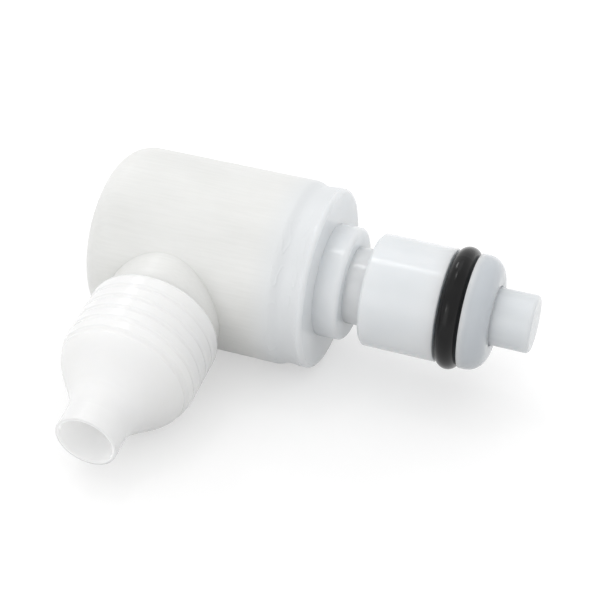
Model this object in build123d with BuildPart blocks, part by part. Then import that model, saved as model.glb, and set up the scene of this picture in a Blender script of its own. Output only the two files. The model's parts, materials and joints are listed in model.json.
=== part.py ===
from build123d import *
from math import asin, atan, atan2, cos, hypot, radians, sin, sqrt, tan
import os

# Valved elbow insert of a plastic quick disconnect coupling, at rest on its side.
# The main axis runs along X with the plug end at +X. The branch leaves it toward -Y and
# droops until the tube nut touches the floor, which is the plane z = 0.
# Lengths in millimetres. The origin is under the middle of the whole part.

# Elbow body
body_radius = 11.1
body_length = 23.5
body_end_round = 3.4
body_wall = 2.8
body_end_wall = 2.6
socket_wall = 1.78
branch_to_mouth = 12.6
boss_radius = 7.0
boss_height = 1.8

# Threaded stub and tube nozzle on the branch
stub_radius = 6.6
stub_length = 6.4
stub_end_chamfer = 0.5
nozzle_length = 5.4
nozzle_root_radius = 3.0
nozzle_tip_radius = 2.05
nozzle_bore_radius = 1.5
stub_bore_radius = 3.2
stub_bore_end_wall = 2.0

# Tube nut
nut_radius = 7.95
nut_length = 19.1
nut_gap = 0.1
nut_rim_round = 1.2
nut_thread_clearance = 0.05
nut_thread_relief = 0.6
nut_shoulder_from_tip = 9.7
nut_shoulder_run = 5.6
nut_shoulder_round = 6.5
nut_waist_round = 4.5
nut_collar_radius = 3.6
nut_collar_edge = 0.12
nut_inner_step_radius = 4.7
nut_cone_length = 5.0
tube_hole_radius = 3.2
ring_count = 5
ring_pitch = 1.75
ring_from_rim = 2.5
ring_groove_radius = 0.8
ring_groove_depth = 0.09

# Coupling insert. Each drop is how far the collar lies below the surface of the body.
spigot_length = 3.5
spigot_clearance = 0.02
spigot_wall = 1.9
collar_length = 4.2
collar_rear_land = 0.3
collar_rear_round = 1.5
collar_waist_drop = 0.45
collar_waist_run = 1.4
collar_waist_round = 2.0
collar_front_drop = 0.3
collar_front_land = 0.8
collar_edge_round = 0.55
flange_length = 2.9
flange_radius = 6.75
flange_edge_round = 0.6
latch_groove_width = 2.4
core_radius = 4.6
barrel_length = 8.95
barrel_radius = 6.7
barrel_edge = 0.3
groove_width = 2.85
groove_lip_edge = 0.1
tip_length = 2.9
tip_radius = 6.75
tip_round = 2.25
tip_bore_edge = 0.1
seat_angle = 45.0
seat_from_collar_face = 0.5

# O-rings: section diameters and the small gaps at which each lies on its seat
nose_ring_section = 2.62
nose_ring_side_gap = 0.08
stem_ring_section = 1.78
ring_seat_gap = 0.01
valve_seat_gap = 0.04

# Valve stem
stem_radius = 3.4
stem_bore_gap = 0.18
stem_protrusion = 4.6
stem_edge_round = 0.5
stem_plain_length = 9.6
rib_clearance = 0.06
rib_length = 11.5
rib_thickness = 1.2
rib_count = 4
stem_core_radius = 2.2
seal_shoulder_length = 0.5
seal_shoulder_clearance = 0.15
seal_floor_radius = 2.95
seal_side_clearance = 0.05
head_radius = 5.3
head_length = 1.6
head_edge = 0.3
post_radius = 3.5
post_length = 3.4
post_chamfer = 0.4

# Valve spring
wire_radius = 0.4
spring_turns = 7
spring_clearance = 0.3
spring_post_height = 2.0
spring_end_gap = 0.02

# Places along X, from the closed end to the stem's end
overall_length = (
    body_length + collar_length + flange_length + latch_groove_width
    + barrel_length + groove_width + tip_length + stem_protrusion
)
back_x = -overall_length / 2
mouth_x = back_x + body_length
branch_x = mouth_x - branch_to_mouth
collar_face_x = mouth_x + collar_length
flange_face_x = collar_face_x + flange_length
barrel_rear_x = flange_face_x + latch_groove_width
groove_rear_x = barrel_rear_x + barrel_length
groove_front_x = groove_rear_x + groove_width
tip_face_x = groove_front_x + tip_length
stem_end_x = tip_face_x + stem_protrusion

# Places along the branch, measured from the main axis
boss_reach = body_radius + boss_height
nut_rear_t = boss_reach + nut_gap
nut_tip_t = nut_rear_t + nut_length
nut_shoulder_t = nut_tip_t - nut_shoulder_from_tip
stub_end_t = boss_reach + stub_length
nut_step_t = stub_end_t + nut_thread_relief
nut_thread_radius = stub_radius + nut_thread_clearance
nozzle_tip_t = stub_end_t + nozzle_length

# Droop of the branch: the arc that rounds the nut's shoulder touches the floor
shoulder_slope = atan((nut_radius - nut_collar_radius) / nut_shoulder_run)
arc_center_t = nut_shoulder_t - nut_shoulder_round * tan(shoulder_slope / 2)
arc_center_r = nut_radius - nut_shoulder_round
droop = (
    asin((body_radius - nut_shoulder_round) / hypot(arc_center_t, arc_center_r))
    - atan2(arc_center_r, arc_center_t)
)

# The main axis stands over the floor by the body's radius, and the part is centred along Y
branch_reach = (
    (nut_tip_t - nut_collar_edge) * cos(droop)
    + (nut_collar_radius - nut_collar_edge) * sin(droop)
    + nut_collar_edge
)
axis_y = (branch_reach - body_radius) / 2
axis_z = body_radius
main_axis = Axis(origin=(0, axis_y, axis_z), direction=(1, 0, 0))
main_plane = Plane(origin=(0, axis_y, axis_z), x_dir=(1, 0, 0), z_dir=(0, -1, 0))
branch_dir = (0, -cos(droop), -sin(droop))
branch_axis = Axis(origin=(branch_x, axis_y, axis_z), direction=branch_dir)
branch_plane = Plane(origin=(branch_x, axis_y, axis_z), x_dir=branch_dir, z_dir=(1, 0, 0))

# Weld joint, collar and valve chamber, measured from the body's radius inward
socket_radius = body_radius - socket_wall
spigot_radius = socket_radius - spigot_clearance
valve_chamber_radius = spigot_radius - spigot_wall
collar_waist_radius = body_radius - collar_waist_drop
collar_front_radius = body_radius - collar_front_drop
collar_waist_x = mouth_x + collar_waist_run

# Valve seat, seal and stem places
bore_radius = stem_radius + stem_bore_gap
bore_end_x = collar_face_x + seat_from_collar_face
seat_slope = radians(seat_angle)
seat_length = (valve_chamber_radius - bore_radius) / tan(seat_slope)
stem_ring_radius = stem_ring_section / 2
seal_center_r = seal_floor_radius + ring_seat_gap + stem_ring_radius
seal_center_x = (
    bore_end_x
    - (seal_center_r - bore_radius) / tan(seat_slope)
    - (stem_ring_radius + valve_seat_gap) / sin(seat_slope)
)
seal_front_x = seal_center_x + stem_ring_radius + seal_side_clearance
head_front_x = seal_center_x - stem_ring_radius - seal_side_clearance
head_rear_x = head_front_x - head_length
post_end_x = head_rear_x - post_length
plain_end_x = stem_end_x - stem_plain_length
rib_end_x = plain_end_x - rib_length
rib_radius = bore_radius - rib_clearance
seal_shoulder_radius = bore_radius - seal_shoulder_clearance
chamber_end_x = back_x + body_end_wall
chamber_radius = body_radius - body_wall
spigot_end_x = mouth_x - spigot_length
nose_ring_radius = nose_ring_section / 2
nose_ring_center_r = core_radius + ring_seat_gap + nose_ring_radius
nose_ring_center_x = groove_rear_x + nose_ring_side_gap + nose_ring_radius
coil_radius = post_radius + spring_clearance + wire_radius
spring_front_x = head_rear_x - spring_end_gap
spring_rear_x = chamber_end_x + spring_end_gap

os.makedirs("parts", exist_ok=True)


def rims(part, axis, distance, radius):
    """Circular edges with that radius, centred on the axis at that distance along it."""
    center = axis.position + axis.direction * distance
    circles = part.edges().filter_by(GeomType.CIRCLE)
    return circles.filter_by(
        lambda e: (e.arc_center - center).length < 0.01 and abs(e.radius - radius) < 0.01
    )


# Elbow body: closed cylinder, boss, threaded stub and tube nozzle in one moulding
with BuildPart() as elbow_body:
    with BuildSketch(main_plane):
        with BuildLine():
            Polyline(
                (back_x, 0),
                (back_x, body_radius),
                (mouth_x, body_radius),
                (mouth_x, 0),
                close=True,
            )
        make_face()
    revolve(axis=main_axis)
    fillet(rims(elbow_body, main_axis, back_x, body_radius), body_end_round)
    with BuildSketch(branch_plane):
        with BuildLine():
            Polyline(
                (0, 0),
                (0, boss_radius),
                (boss_reach, boss_radius),
                (boss_reach, stub_radius),
                (stub_end_t - stub_end_chamfer, stub_radius),
                (stub_end_t, stub_radius - stub_end_chamfer),
                (stub_end_t, nozzle_root_radius),
                (nozzle_tip_t, nozzle_tip_radius),
                (nozzle_tip_t, 0),
                close=True,
            )
        make_face()
    revolve(axis=branch_axis)
    with BuildSketch(main_plane):
        with BuildLine():
            Polyline(
                (chamber_end_x + spring_post_height, 0),
                (chamber_end_x + spring_post_height, post_radius),
                (chamber_end_x, post_radius),
                (chamber_end_x, chamber_radius),
                (spigot_end_x, chamber_radius),
                (spigot_end_x, socket_radius),
                (mouth_x, socket_radius),
                (mouth_x, 0),
                close=True,
            )
        make_face()
    revolve(axis=main_axis, mode=Mode.SUBTRACT)
    with BuildSketch(branch_plane):
        with BuildLine():
            Polyline(
                (chamber_radius - stub_bore_radius, 0),
                (chamber_radius - stub_bore_radius, stub_bore_radius),
                (stub_end_t - stub_bore_end_wall, stub_bore_radius),
                (stub_end_t - stub_bore_end_wall, nozzle_bore_radius),
                (nozzle_tip_t, nozzle_bore_radius),
                (nozzle_tip_t, 0),
                close=True,
            )
        make_face()
    revolve(axis=branch_axis, mode=Mode.SUBTRACT)
elbow_body.part.label = "elbow_body"
export_step(elbow_body.part, "parts/elbow_body.step")

# Coupling insert: weld spigot, collar, flange, latch groove, barrel, O-ring groove and tip
with BuildPart() as coupling_insert:
    with BuildSketch(main_plane):
        with BuildLine():
            Polyline(
                (spigot_end_x, valve_chamber_radius),
                (spigot_end_x, spigot_radius),
                (mouth_x, spigot_radius),
                (mouth_x, body_radius),
                (mouth_x + collar_rear_land, body_radius),
                (collar_waist_x, collar_waist_radius),
                (collar_face_x - collar_front_land, collar_front_radius),
                (collar_face_x, collar_front_radius),
                (collar_face_x, flange_radius),
                (flange_face_x, flange_radius),
                (flange_face_x, core_radius),
                (barrel_rear_x, core_radius),
                (barrel_rear_x, barrel_radius),
                (groove_rear_x, barrel_radius),
                (groove_rear_x, core_radius),
                (groove_front_x, core_radius),
                (groove_front_x, tip_radius),
                (tip_face_x, tip_radius),
                (tip_face_x, bore_radius),
                (bore_end_x, bore_radius),
                (bore_end_x - seat_length, valve_chamber_radius),
                close=True,
            )
        make_face()
    revolve(axis=main_axis)
    for edge_x, edge_radius, rounding in (
        (mouth_x + collar_rear_land, body_radius, collar_rear_round),
        (collar_waist_x, collar_waist_radius, collar_waist_round),
        (collar_face_x, collar_front_radius, collar_edge_round),
        (flange_face_x, flange_radius, flange_edge_round),
        (tip_face_x, tip_radius, tip_round),
    ):
        fillet(rims(coupling_insert, main_axis, edge_x, edge_radius), rounding)
    for edge_x, edge_radius, cut in (
        (barrel_rear_x, barrel_radius, barrel_edge),
        (groove_rear_x, barrel_radius, groove_lip_edge),
        (tip_face_x, bore_radius, tip_bore_edge),
    ):
        chamfer(rims(coupling_insert, main_axis, edge_x, edge_radius), cut)
coupling_insert.part.label = "coupling_insert"
export_step(coupling_insert.part, "parts/coupling_insert.step")

# Nose O-ring, lying on the floor of its groove
with BuildPart() as nose_o_ring:
    with BuildSketch(main_plane):
        with Locations((nose_ring_center_x, nose_ring_center_r)):
            Circle(nose_ring_radius)
    revolve(axis=main_axis)
nose_o_ring.part.label = "nose_o_ring"
export_step(nose_o_ring.part, "parts/nose_o_ring.step")

# Valve stem: plain end, guide ribs on a thinner core, seal groove, head and spring post
with BuildPart() as valve_stem:
    with BuildSketch(main_plane):
        with BuildLine():
            Polyline(
                (stem_end_x, 0),
                (stem_end_x, stem_radius),
                (plain_end_x, stem_radius),
                (plain_end_x, stem_core_radius),
                (seal_front_x + seal_shoulder_length, stem_core_radius),
                (seal_front_x + seal_shoulder_length, seal_shoulder_radius),
                (seal_front_x, seal_shoulder_radius),
                (seal_front_x, seal_floor_radius),
                (head_front_x, seal_floor_radius),
                (head_front_x, head_radius),
                (head_rear_x, head_radius),
                (head_rear_x, post_radius),
                (post_end_x, post_radius),
                (post_end_x, 0),
                close=True,
            )
        make_face()
    revolve(axis=main_axis)
    fillet(rims(valve_stem, main_axis, stem_end_x, stem_radius), stem_edge_round)
    chamfer(rims(valve_stem, main_axis, head_front_x, head_radius), head_edge)
    chamfer(rims(valve_stem, main_axis, post_end_x, post_radius), post_chamfer)
    with BuildSketch(Plane(origin=(rib_end_x, axis_y, axis_z), x_dir=(0, 1, 0), z_dir=(1, 0, 0))):
        for turn in range(rib_count // 2):
            Rectangle(2 * rib_radius, rib_thickness, rotation=turn * 360 / rib_count)
        Circle(rib_radius, mode=Mode.INTERSECT)
    extrude(amount=rib_length)
valve_stem.part.label = "valve_stem"
export_step(valve_stem.part, "parts/valve_stem.step")

# Valve seal in the groove of the stem, against the cone in the insert
with BuildPart() as stem_o_ring:
    with BuildSketch(main_plane):
        with Locations((seal_center_x, seal_center_r)):
            Circle(stem_ring_radius)
    revolve(axis=main_axis)
stem_o_ring.part.label = "stem_o_ring"
export_step(stem_o_ring.part, "parts/stem_o_ring.step")

# Valve spring between the stem's head and the closed end, with ground ends
with BuildPart() as valve_spring:
    with BuildLine() as coil:
        Helix(
            pitch=(spring_front_x - spring_rear_x) / spring_turns,
            height=spring_front_x - spring_rear_x,
            radius=coil_radius,
            center=(spring_rear_x, axis_y, axis_z),
            direction=(1, 0, 0),
        )
    with BuildSketch(Plane(origin=coil.line @ 0, z_dir=coil.line % 0)):
        Circle(wire_radius)
    sweep(is_frenet=True)
    for end_x, kept in ((spring_rear_x, Keep.TOP), (spring_front_x, Keep.BOTTOM)):
        split(bisect_by=Plane(origin=(end_x, axis_y, axis_z), z_dir=(1, 0, 0)), keep=kept)
valve_spring.part.label = "valve_spring"
export_step(valve_spring.part, "parts/valve_spring.step")

# Tube nut: ringed grip, rounded shoulder, waist and collar round the tube hole
with BuildPart() as tube_nut:
    with BuildSketch(branch_plane):
        with BuildLine():
            Polyline(
                (nut_rear_t, 0),
                (nut_rear_t, nut_radius),
                (nut_shoulder_t, nut_radius),
                (nut_shoulder_t + nut_shoulder_run, nut_collar_radius),
                (nut_tip_t, nut_collar_radius),
                (nut_tip_t, 0),
                close=True,
            )
        make_face()
    revolve(axis=branch_axis)
    fillet(rims(tube_nut, branch_axis, nut_shoulder_t, nut_radius), nut_shoulder_round)
    fillet(
        rims(tube_nut, branch_axis, nut_shoulder_t + nut_shoulder_run, nut_collar_radius),
        nut_waist_round,
    )
    fillet(rims(tube_nut, branch_axis, nut_rear_t, nut_radius), nut_rim_round)
    fillet(rims(tube_nut, branch_axis, nut_tip_t, nut_collar_radius), nut_collar_edge)
    with BuildSketch(branch_plane):
        for ring in range(ring_count):
            ring_t = nut_rear_t + ring_from_rim + ring * ring_pitch
            past_shoulder = max(ring_t - arc_center_t, 0)
            ring_r = arc_center_r + sqrt(nut_shoulder_round**2 - past_shoulder**2)
            with Locations((ring_t, ring_r + ring_groove_radius - ring_groove_depth)):
                Circle(ring_groove_radius)
    revolve(axis=branch_axis, mode=Mode.SUBTRACT)
    with BuildSketch(branch_plane):
        with BuildLine():
            Polyline(
                (nut_rear_t, 0),
                (nut_rear_t, nut_thread_radius),
                (nut_step_t, nut_thread_radius),
                (nut_step_t, nut_inner_step_radius),
                (nut_step_t + nut_cone_length, tube_hole_radius),
                (nut_tip_t, tube_hole_radius),
                (nut_tip_t, 0),
                close=True,
            )
        make_face()
    revolve(axis=branch_axis, mode=Mode.SUBTRACT)
tube_nut.part.label = "tube_nut"
export_step(tube_nut.part, "parts/tube_nut.step")
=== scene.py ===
import json
import math

import bmesh
import bpy
from mathutils import Matrix, Vector, noise


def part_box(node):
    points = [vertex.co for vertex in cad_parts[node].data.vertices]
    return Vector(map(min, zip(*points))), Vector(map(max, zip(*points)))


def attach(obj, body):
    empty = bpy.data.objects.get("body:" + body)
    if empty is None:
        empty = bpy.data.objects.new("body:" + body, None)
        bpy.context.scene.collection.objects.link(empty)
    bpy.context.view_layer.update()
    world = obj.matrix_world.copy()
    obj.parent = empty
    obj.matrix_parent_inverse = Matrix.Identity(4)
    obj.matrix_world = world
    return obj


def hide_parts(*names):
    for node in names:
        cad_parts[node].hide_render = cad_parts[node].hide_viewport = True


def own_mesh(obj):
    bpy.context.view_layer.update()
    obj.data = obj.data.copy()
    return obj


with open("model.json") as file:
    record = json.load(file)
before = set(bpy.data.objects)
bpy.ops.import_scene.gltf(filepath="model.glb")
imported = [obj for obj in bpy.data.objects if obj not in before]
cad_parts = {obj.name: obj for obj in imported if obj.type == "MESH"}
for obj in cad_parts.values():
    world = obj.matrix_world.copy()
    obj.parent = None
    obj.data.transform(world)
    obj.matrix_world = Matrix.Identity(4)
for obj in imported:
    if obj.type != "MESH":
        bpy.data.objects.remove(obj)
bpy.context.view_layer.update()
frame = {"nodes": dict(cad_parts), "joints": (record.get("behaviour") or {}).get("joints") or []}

MM = 0.001
PER_MM = 1000

# The main axis runs along x, through the middle of the insert. Places along it are the
# body's mouth, the collar's front face and the rear of the tip.
AXIS_Y = sum(v.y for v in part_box("coupling_insert")) / 2
AXIS_Z = sum(v.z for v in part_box("coupling_insert")) / 2
BODY_RADIUS = (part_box("coupling_insert")[1].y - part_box("coupling_insert")[0].y) / 2
MOUTH_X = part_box("elbow_body")[1].x
COLLAR_FACE_X = MOUTH_X + 4.2 * MM
TIP_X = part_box("coupling_insert")[1].x - 2.9 * MM


# Objects

def add_object(name, data):
    obj = bpy.data.objects.new(name, data)
    bpy.context.scene.collection.objects.link(obj)
    return obj


def mesh_object(name, bm):
    """Object from a finished bmesh, which is freed."""
    mesh = bpy.data.meshes.new(name)
    bm.to_mesh(mesh)
    bm.free()
    return add_object(name, mesh)


# Shader helpers. The owner of the nodes is a material or the world.

def empty_material(name):
    mat = bpy.data.materials.new(name)
    mat.use_nodes = True
    mat.node_tree.nodes.clear()
    return mat


def add_node(owner, kind):
    return owner.node_tree.nodes.new(kind)


def link(owner, output, target):
    owner.node_tree.links.new(output, target)


def spread(owner, value, low, high, to_low=0.0, to_high=1.0):
    """Smooth step of a value: to_low up to low, to_high from high on."""
    m = add_node(owner, "ShaderNodeMapRange")
    m.interpolation_type = "SMOOTHSTEP"
    m.inputs["From Min"].default_value = low
    m.inputs["From Max"].default_value = high
    m.inputs["To Min"].default_value = to_low
    m.inputs["To Max"].default_value = to_high
    link(owner, value, m.inputs["Value"])
    return m.outputs["Result"]


def calc(owner, kind, a, b):
    """Math on a socket and a second socket or number."""
    m = add_node(owner, "ShaderNodeMath")
    m.operation = kind
    link(owner, a, m.inputs[0])
    if isinstance(b, float):
        m.inputs[1].default_value = b
    else:
        link(owner, b, m.inputs[1])
    return m.outputs[0]


def vector_calc(owner, kind, a, b=None):
    """Math on a vector and a second one, which is a plain value or left out."""
    m = add_node(owner, "ShaderNodeVectorMath")
    m.operation = kind
    link(owner, a, m.inputs[0])
    if b is not None:
        m.inputs[1].default_value = b
    return m.outputs


def mix(mat, factor, a, b):
    """Colour between a and b, each a socket or a plain colour."""
    m = add_node(mat, "ShaderNodeMix")
    m.data_type = "RGBA"
    link(mat, factor, m.inputs[0])
    for socket, value in ((m.inputs[6], a), (m.inputs[7], b)):
        if isinstance(value, tuple):
            socket.default_value = (*value, 1)
        else:
            link(mat, value, socket)
    return m.outputs[2]


def noise_tex(mat, at, per_mm, detail, rough=0.5):
    """Noise over a place on the object, with its waves per mm along x, y and z."""
    scaled = add_node(mat, "ShaderNodeMapping")
    scaled.inputs["Scale"].default_value = [waves * PER_MM for waves in per_mm]
    link(mat, at, scaled.inputs["Vector"])
    n = add_node(mat, "ShaderNodeTexNoise")
    n.inputs["Scale"].default_value = 1.0
    n.inputs["Detail"].default_value = detail
    n.inputs["Roughness"].default_value = rough
    link(mat, scaled.outputs["Vector"], n.inputs["Vector"])
    return n.outputs["Fac"]


def bump(mat, height, distance_mm, strength=1.0, under=None):
    b = add_node(mat, "ShaderNodeBump")
    b.inputs["Strength"].default_value = strength
    b.inputs["Distance"].default_value = distance_mm * MM
    link(mat, height, b.inputs["Height"])
    if under is not None:
        link(mat, under, b.inputs["Normal"])
    return b.outputs["Normal"]


def along_x(mat, at):
    s = add_node(mat, "ShaderNodeSeparateXYZ")
    link(mat, at, s.inputs[0])
    return s.outputs["X"]


def seen_directly(owner):
    """1 where the ray comes from the camera, a mirror reflection or through glass."""
    path = add_node(owner, "ShaderNodeLightPath")
    total = path.outputs["Is Camera Ray"]
    for other in ("Is Glossy Ray", "Is Transmission Ray"):
        total = calc(owner, "MAXIMUM", total, path.outputs[other])
    return total


# Materials

# Pale and deep tone of each clouded colour
BODY_PALE, BODY_DEEP = (0.84, 0.843, 0.828), (0.785, 0.788, 0.772)
NUT_PALE, NUT_DEEP = (0.935, 0.937, 0.925), (0.915, 0.918, 0.903)
STEM_PALE, STEM_DEEP = (0.73, 0.755, 0.775), (0.695, 0.72, 0.74)
INSERT_PALE, INSERT_DEEP = (0.805, 0.827, 0.845), (0.765, 0.79, 0.81)
# Pale and deep tone of the tip, darkened as painted shade
TIP_PAINTED_SHADE_PALE, TIP_PAINTED_SHADE_DEEP = (0.575, 0.605, 0.635), (0.54, 0.57, 0.60)
RUBBER_PALE, RUBBER_DEEP = (0.007, 0.007, 0.0074), (0.003, 0.003, 0.0032)
STEEL_PALE, STEEL_DEEP = (0.66, 0.65, 0.63), (0.5, 0.49, 0.47)
WELD_FRONT = (0.775, 0.795, 0.81)
WHITE = (1, 1, 1, 1)

# How far red, green and blue light spread inside the plastic, as shares of the depth
NATURAL_SCATTER = (1.0, 0.99, 0.96)
INSERT_SCATTER = (0.93, 0.97, 1.0)

# Waves per mm of the body's brush marks, which run along x
BODY_GRAIN = (0.22, 3.2, 3.2)
PLASTIC_IOR = 1.49
RUBBER_IOR = 1.52

# Over the welded mouth the colours of body and insert blend, and the body's inner glow
# fades out before the flash covers it
GLOW_FADE_X = MOUTH_X - 7.0 * MM
BLEND_FROM_X = MOUTH_X - 3.2 * MM
BLEND_TO_X = MOUTH_X + 1.4 * MM

# Painted shade: from the groove of the nose ring on, the tip's colour is darkened, standing in
# for the shade there from the ring and on the forward-facing surfaces
TIP_SHADE_FROM_X = TIP_X - 0.2 * MM
TIP_SHADE_TO_X = TIP_X + 0.9 * MM

# Painted light: the nut's bore is coloured near white and glows faintly, standing in for the
# light that comes through the thin wall at the nut's end
NUT_JOINT = next(j for j in frame["joints"] if j["name"] == "nut_turn")
NUT_BORE = 3.2 * MM
BORE_PAINTED_WHITE = (0.98, 0.98, 0.975)
BORE_PAINTED_GLOW = 0.12


def inside_bore(mat, at, pos, axis):
    """1 in the nut's bore about that axis, 0 in the wall round it."""
    off = vector_calc(mat, "SUBTRACT", at, pos)["Vector"]
    arm = vector_calc(mat, "CROSS_PRODUCT", off, axis)["Vector"]
    radius = vector_calc(mat, "LENGTH", arm)["Value"]
    return spread(mat, radius, NUT_BORE + 0.05 * MM, NUT_BORE + 0.25 * MM, 1.0, 0.0)


def past_mouth(mat, x):
    """0 on the plain body, 1 on the plain insert, blended over the welded mouth."""
    return spread(mat, x, BLEND_FROM_X, BLEND_TO_X)


def new_material(name):
    """Material with a principled surface, and the place on the object in metres."""
    mat = empty_material(name)
    bsdf = add_node(mat, "ShaderNodeBsdfPrincipled")
    link(mat, bsdf.outputs[0], add_node(mat, "ShaderNodeOutputMaterial").inputs[0])
    return mat, bsdf, add_node(mat, "ShaderNodeTexCoord").outputs["Object"]


def plastic(name, pale, deep, grain, streaks, brush, waviness, gloss, glow, depth,
            blend_to=None, bore=None):
    """Moulded plastic: cloudy colour, marks along the grain, fine skin, mould waviness.

    grain is in waves per mm, streaks is how much the marks show in the colour, brush and
    waviness are heights in mm and gloss is the lowest roughness. glow and depth in mm are
    for the light inside. blend_to is the colour past the mouth, bore a joint's row, about
    whose axis the bore gets painted light: a near white colour and a faint glow.
    """
    mat, bsdf, at = new_material(name)
    cloud = noise_tex(mat, at, (0.16, 0.16, 0.16), detail=2)
    marks = noise_tex(mat, at, grain, detail=4, rough=0.6)
    broad = noise_tex(mat, at, (0.35, 0.35, 0.35), detail=2)
    tone = calc(mat, "MULTIPLY", spread(mat, marks, 0.35, 0.7), streaks)
    shade = calc(mat, "ADD", spread(mat, cloud, 0.3, 0.7, 0.0, 0.55), tone)
    colour = mix(mat, shade, pale, deep)
    bsdf.inputs["Subsurface Weight"].default_value = glow
    if blend_to is not None:
        x = along_x(mat, at)
        colour = mix(mat, past_mouth(mat, x), colour, blend_to)
        if glow:
            fade = spread(mat, x, GLOW_FADE_X, BLEND_FROM_X, glow, 0.0)
            link(mat, fade, bsdf.inputs["Subsurface Weight"])
    # Painted light in the bore: its colour is lifted to near white and it glows faintly
    if bore is not None:
        inside = inside_bore(mat, at, bore["pos_m"], bore["axis"])
        colour = mix(mat, inside, colour, BORE_PAINTED_WHITE)
        bsdf.inputs["Emission Color"].default_value = WHITE
        light = calc(mat, "MULTIPLY", inside, BORE_PAINTED_GLOW)
        link(mat, light, bsdf.inputs["Emission Strength"])
    link(mat, colour, bsdf.inputs["Base Color"])
    link(mat, spread(mat, marks, 0.3, 0.7, gloss, gloss + 0.1), bsdf.inputs["Roughness"])
    height = bump(mat, marks, brush, 0.8, under=bump(mat, broad, waviness))
    link(mat, height, bsdf.inputs["Normal"])
    bsdf.inputs["IOR"].default_value = PLASTIC_IOR
    bsdf.inputs["Subsurface Radius"].default_value = NATURAL_SCATTER
    bsdf.inputs["Subsurface Scale"].default_value = depth * MM
    return mat


def insert_plastic():
    """Cooler white plastic, of the body's colour under the weld, with painted shade darkening
    its colour at the tip.
    """
    mat, bsdf, at = new_material("insert_plastic")
    cloud = noise_tex(mat, at, (0.2, 0.2, 0.2), detail=2)
    turned = noise_tex(mat, at, (5, 0.35, 0.35), detail=4, rough=0.6)
    x = along_x(mat, at)
    shade = spread(mat, cloud, 0.25, 0.75, 0.0, 0.8)
    white = mix(mat, past_mouth(mat, x), BODY_PALE, mix(mat, shade, INSERT_PALE, INSERT_DEEP))
    # Painted shade: the darkened colour of the tip
    tip_shade = mix(mat, shade, TIP_PAINTED_SHADE_PALE, TIP_PAINTED_SHADE_DEEP)
    colour = mix(mat, spread(mat, x, TIP_SHADE_FROM_X, TIP_SHADE_TO_X), white, tip_shade)
    link(mat, colour, bsdf.inputs["Base Color"])
    link(mat, spread(mat, cloud, 0.25, 0.75, 0.14, 0.21), bsdf.inputs["Roughness"])
    link(mat, bump(mat, turned, 0.006, 0.7), bsdf.inputs["Normal"])
    bsdf.inputs["IOR"].default_value = PLASTIC_IOR
    bsdf.inputs["Subsurface Weight"].default_value = 0.75
    bsdf.inputs["Subsurface Radius"].default_value = INSERT_SCATTER
    bsdf.inputs["Subsurface Scale"].default_value = 2.6 * MM
    return mat


def rubber():
    """Black rubber with a faint bloom and a fine skin."""
    mat, bsdf, at = new_material("seal_rubber_skin")
    bloom = noise_tex(mat, at, (0.5, 0.5, 0.5), detail=5, rough=0.65)
    skin = noise_tex(mat, at, (9, 9, 9), detail=3)
    colour = mix(mat, spread(mat, bloom, 0.35, 0.75), RUBBER_DEEP, RUBBER_PALE)
    link(mat, colour, bsdf.inputs["Base Color"])
    link(mat, spread(mat, bloom, 0.3, 0.7, 0.11, 0.18), bsdf.inputs["Roughness"])
    link(mat, bump(mat, skin, 0.01, 0.7), bsdf.inputs["Normal"])
    bsdf.inputs["Specular IOR Level"].default_value = 0.22
    bsdf.inputs["IOR"].default_value = RUBBER_IOR
    return mat


def drawn_steel():
    """Drawn stainless wire with fine lines."""
    mat, bsdf, at = new_material("spring_wire_steel")
    lines = noise_tex(mat, at, (12, 2, 2), detail=4, rough=0.6)
    colour = mix(mat, spread(mat, lines, 0.3, 0.7), STEEL_PALE, STEEL_DEEP)
    link(mat, colour, bsdf.inputs["Base Color"])
    link(mat, spread(mat, lines, 0.3, 0.7, 0.22, 0.38), bsdf.inputs["Roughness"])
    link(mat, bump(mat, lines, 0.006, 0.8), bsdf.inputs["Normal"])
    bsdf.inputs["Metallic"].default_value = 1.0
    return mat


body_plastic = plastic(
    "body_plastic", BODY_PALE, BODY_DEEP, grain=BODY_GRAIN, streaks=0.4, brush=0.008,
    waviness=0.05, gloss=0.32, glow=0.7, depth=1.8, blend_to=INSERT_PALE,
)
nut_plastic = plastic(
    "nut_plastic", NUT_PALE, NUT_DEEP, grain=(0.8, 2.0, 0.8), streaks=0.3, brush=0.001,
    waviness=0.02, gloss=0.16, glow=0.85, depth=1.3, bore=NUT_JOINT,
)
stem_plastic = plastic(
    "stem_plastic_skin", STEM_PALE, STEM_DEEP, grain=(0.5, 1.5, 1.5), streaks=0.25,
    brush=0.001, waviness=0.02, gloss=0.16, glow=0.75, depth=2.5,
)
insert_white = insert_plastic()
weld_white = plastic(
    "weld_plastic", BODY_PALE, BODY_DEEP, grain=BODY_GRAIN, streaks=0.4, brush=0.006,
    waviness=0.03, gloss=0.3, glow=0.0, depth=1.0, blend_to=WELD_FRONT,
)
black_rubber = rubber()
steel = drawn_steel()

finish = {
    "elbow_body": body_plastic,
    "tube_nut": nut_plastic,
    "coupling_insert": insert_white,
    "valve_stem": stem_plastic,
    "nose_o_ring": black_rubber,
    "stem_o_ring": black_rubber,
    "valve_spring": steel,
}
for name, mat in finish.items():
    mesh = frame["nodes"][name].data
    mesh.materials.clear()
    mesh.materials.append(mat)


# Valve spring: the same coil, which shortens as the stem slides in

coil = add_object("valve_spring_coil", frame["nodes"]["valve_spring"].data.copy())
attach(coil, "coupling")
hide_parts("valve_spring")
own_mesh(coil)


# Weld flash: a thin uneven skin over the joint between the body and the collar

FLASH_FROM = MOUTH_X - 3.0 * MM
FLASH_TO = COLLAR_FACE_X - 0.5 * MM
FLASH_DEPTH = 0.4 * MM
FLASH_ROWS, FLASH_AROUND = 100, 700
ANGLES = [2 * math.pi * i / FLASH_AROUND for i in range(FLASH_AROUND)]

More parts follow.
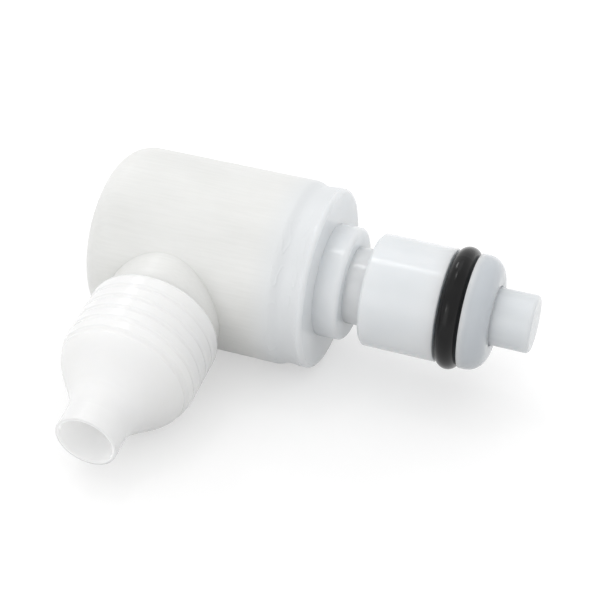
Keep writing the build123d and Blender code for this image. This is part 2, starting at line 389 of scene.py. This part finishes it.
# The flash comes up out of the surface over these lengths at its ends, to this height,
# with waves and wrinkles on it, all in mm
REAR_RISE, FRONT_RISE = 1.2 * MM, 0.5 * MM
SKIN_HEIGHT, WAVE_HEIGHT, WRINKLE_HEIGHT = 0.012, 0.012, 0.09

# Middle and half width of the two bands of wrinkles
REAR_BAND = (MOUTH_X + 0.7 * MM, 1.1 * MM)
FRONT_BAND = (COLLAR_FACE_X - 1.3 * MM, 0.8 * MM)

# Waves per mm and shift of the noise for wrinkles, for their patches and for the waves
WRINKLE_GRAIN, WRINKLE_SHIFT = (1.3, 0.5, 0.5), (7.3, 1.7, 4.1)
PATCH_GRAIN, PATCH_SHIFT = (0.3, 0.2, 0.2), (2.0, 9.0, 5.0)
WAVE_GRAIN = 0.35

# Edges of the insert farther than this under the body's surface are inside it
COLLAR_DEPTH = 1.2 * MM


def collar_profile():
    """Places along the collar with its radius there, read from the edges of the insert."""
    radii = {}
    for v in frame["nodes"]["coupling_insert"].data.vertices:
        if MOUTH_X <= v.co.x <= COLLAR_FACE_X:
            x = round(v.co.x, 5)
            radii[x] = max(radii.get(x, 0.0), math.hypot(v.co.y - AXIS_Y, v.co.z - AXIS_Z))
    return sorted((x, r) for x, r in radii.items() if r > BODY_RADIUS - COLLAR_DEPTH)


COLLAR_PROFILE = collar_profile()


def outer_radius(x):
    """Radius of the body or the collar at x."""
    if x <= MOUTH_X:
        return BODY_RADIUS
    (x0, r0), (x1, r1) = next(
        (a, b) for a, b in zip(COLLAR_PROFILE, COLLAR_PROFILE[1:]) if a[0] <= x <= b[0]
    )
    return r0 + (r1 - r0) * (x - x0) / max(x1 - x0, 1e-9)


def hump(x, center, half_width):
    """1 at the center, falling smoothly to 0 at half_width from it."""
    t = min(abs(x - center) / half_width, 1.0)
    return 1.0 - t * t * (3.0 - 2.0 * t)


def noise_at(p, grain, shift):
    return noise.noise(Vector([c * waves for c, waves in zip(p, grain)]) + Vector(shift))


def weld_height(x, angle, radius):
    """How far the flash stands over the surface: raised wrinkles in patches, sunk edges."""
    p = Vector((x, radius * math.sin(angle), radius * math.cos(angle))) / MM
    crest = max(1.0 - abs(noise_at(p, WRINKLE_GRAIN, WRINKLE_SHIFT)) * 6.0, 0.0)
    patch = min(max(noise_at(p, PATCH_GRAIN, PATCH_SHIFT) * 2.6 + 0.35, 0.0), 1.0)
    bands = hump(x, *FRONT_BAND) + hump(x, *REAR_BAND)
    edge = min((x - FLASH_FROM) / REAR_RISE, (FLASH_TO - x) / FRONT_RISE, 1.0)
    skin = SKIN_HEIGHT * (2.0 * edge - 1.0)
    wave = noise.noise(p * WAVE_GRAIN) * WAVE_HEIGHT * edge
    return (skin + wave + WRINKLE_HEIGHT * crest * crest * patch * bands) * MM


def ring(bm, x, radii):
    """Loop of vertices round the main axis, with a radius for each of ANGLES."""
    return [
        bm.verts.new((x, AXIS_Y + r * math.sin(angle), AXIS_Z + r * math.cos(angle)))
        for angle, r in zip(ANGLES, radii)
    ]


def ring_skin(name):
    """Closed ring about the main axis: the uneven outer skin and a smooth inner side."""
    bm = bmesh.new()
    loops = []
    for row in range(FLASH_ROWS + 1):
        x = FLASH_FROM + (FLASH_TO - FLASH_FROM) * row / FLASH_ROWS
        base = outer_radius(x)
        loops.append(ring(bm, x, [base + weld_height(x, angle, base) for angle in ANGLES]))
    for x in (FLASH_TO, FLASH_FROM):
        loops.append(ring(bm, x, [outer_radius(x) - FLASH_DEPTH] * FLASH_AROUND))
    for a, b in zip(loops, loops[1:] + loops[:1]):
        for i in range(FLASH_AROUND):
            j = (i + 1) % FLASH_AROUND
            bm.faces.new((a[i], a[j], b[j], b[i]))
    bmesh.ops.recalc_face_normals(bm, faces=bm.faces)
    for face in bm.faces:
        face.smooth = True
    return mesh_object(name, bm)


flash = ring_skin("weld_flash")
flash.data.materials.append(weld_white)
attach(flash, "coupling")
# In its shadow the plastic under it would lose the light inside
flash.visible_shadow = False
flash.visible_diffuse = False


# Floor and surround

FLOOR_SIZE = 4.0
FLOOR_GREY = (0.55, 0.55, 0.55, 1)
SURROUND_LIGHT = 0.89
BACKDROP_WHITE = 1.0

# The floor's own white rises over these distances from the part's middle; its lower white near
# the part is painted shade, which keeps the shadow round the part tight
PAINTED_SHADE_LIFT_NEAR, LIFT_FAR = 0.48, 0.575
LIFT_FROM, LIFT_TO = 0.014, 0.052


def floor_material():
    """White floor: its own light shows it white in the picture and lights nothing. Near the
    part's middle that light is lower, as painted shade.
    """
    mat = empty_material("studio_floor")
    diffuse = add_node(mat, "ShaderNodeBsdfDiffuse")
    diffuse.inputs["Color"].default_value = FLOOR_GREY
    lift = add_node(mat, "ShaderNodeEmission")
    lift.inputs["Color"].default_value = WHITE
    at = add_node(mat, "ShaderNodeTexCoord").outputs["Object"]
    distance = vector_calc(mat, "LENGTH", at)["Value"]
    # Painted shade on the floor: less of its own white near the part's middle
    glow = spread(mat, distance, LIFT_FROM, LIFT_TO, PAINTED_SHADE_LIFT_NEAR, LIFT_FAR)
    link(mat, calc(mat, "MULTIPLY", seen_directly(mat), glow), lift.inputs["Strength"])
    add = add_node(mat, "ShaderNodeAddShader")
    link(mat, diffuse.outputs[0], add.inputs[0])
    link(mat, lift.outputs[0], add.inputs[1])
    link(mat, add.outputs[0], add_node(mat, "ShaderNodeOutputMaterial").inputs[0])
    return mat


def flat_square(name, size):
    bm = bmesh.new()
    bmesh.ops.create_grid(bm, x_segments=2, y_segments=2, size=size / 2)
    return mesh_object(name, bm)


floor = flat_square("studio_floor", FLOOR_SIZE)
floor.data.materials.append(floor_material())

world = bpy.data.worlds.new("studio")
bpy.context.scene.world = world
world.use_nodes = True
world.node_tree.nodes.clear()
choose = add_node(world, "ShaderNodeMixShader")
link(world, seen_directly(world), choose.inputs[0])
for socket, strength in ((choose.inputs[1], SURROUND_LIGHT), (choose.inputs[2], BACKDROP_WHITE)):
    background = add_node(world, "ShaderNodeBackground")
    background.inputs["Color"].default_value = WHITE
    background.inputs["Strength"].default_value = strength
    link(world, background.outputs[0], socket)
link(world, choose.outputs[0], add_node(world, "ShaderNodeOutputWorld").inputs[0])


# Lamps and camera

PART_MIDDLE = Vector((0, 0, 0.011))


def lamp(name, direction, distance, size, power):
    """Square soft lamp of that size and distance in metres, aimed at the part's middle."""
    data = bpy.data.lights.new(name, "AREA")
    data.shape = "SQUARE"
    data.size = size
    data.energy = power
    obj = add_object(name, data)
    away = Vector(direction).normalized()
    obj.location = PART_MIDDLE + away * distance
    obj.rotation_mode = "QUATERNION"
    obj.rotation_quaternion = away.to_track_quat("Z", "Y")


lamp("key_lamp", (-0.42, 0.0, 0.91), 0.7, 0.4, 0.11)
lamp("key_core", (-0.23, 0.10, 0.97), 0.69, 0.10, 0.16)
lamp("rear_core", (-0.50, 0.52, 0.69), 0.69, 0.09, 0.22)
lamp("front_fill", (-0.32, -0.92, 0.25), 0.7, 0.5, 0.56)
lamp("front_core", (-0.42, -0.78, 0.45), 0.69, 0.06, 0.10)
lamp("top_lamp", (-0.1, 0.45, 0.88), 0.7, 0.3, 0.16)

# Fitted camera: focal length in pixels, its own axes, and its place in mm
PICTURE_PX = 608
FOCAL_PX = 1565.864
SENSOR_MM = 36.0
RIGHT = Vector((0.94147959, 0.33618539, 0.02440397))
UP = Vector((-0.21448581, 0.54166294, 0.81277124))
BACK = Vector((0.26002309, -0.77044184, 0.58207161))
PLACE = Vector((47.2213529, -134.43178614, 116.23140063)) * MM

camera = add_object("camera", bpy.data.cameras.new("camera"))
camera.data.sensor_width = SENSOR_MM
camera.data.lens = FOCAL_PX / PICTURE_PX * SENSOR_MM
camera.data.clip_start = 0.01
camera.data.clip_end = 20.0
camera.matrix_world = Matrix((
    (RIGHT.x, UP.x, BACK.x, PLACE.x),
    (RIGHT.y, UP.y, BACK.y, PLACE.y),
    (RIGHT.z, UP.z, BACK.z, PLACE.z),
    (0, 0, 0, 1),
))
bpy.context.scene.camera = camera
bpy.context.scene.view_settings.view_transform = "Standard"
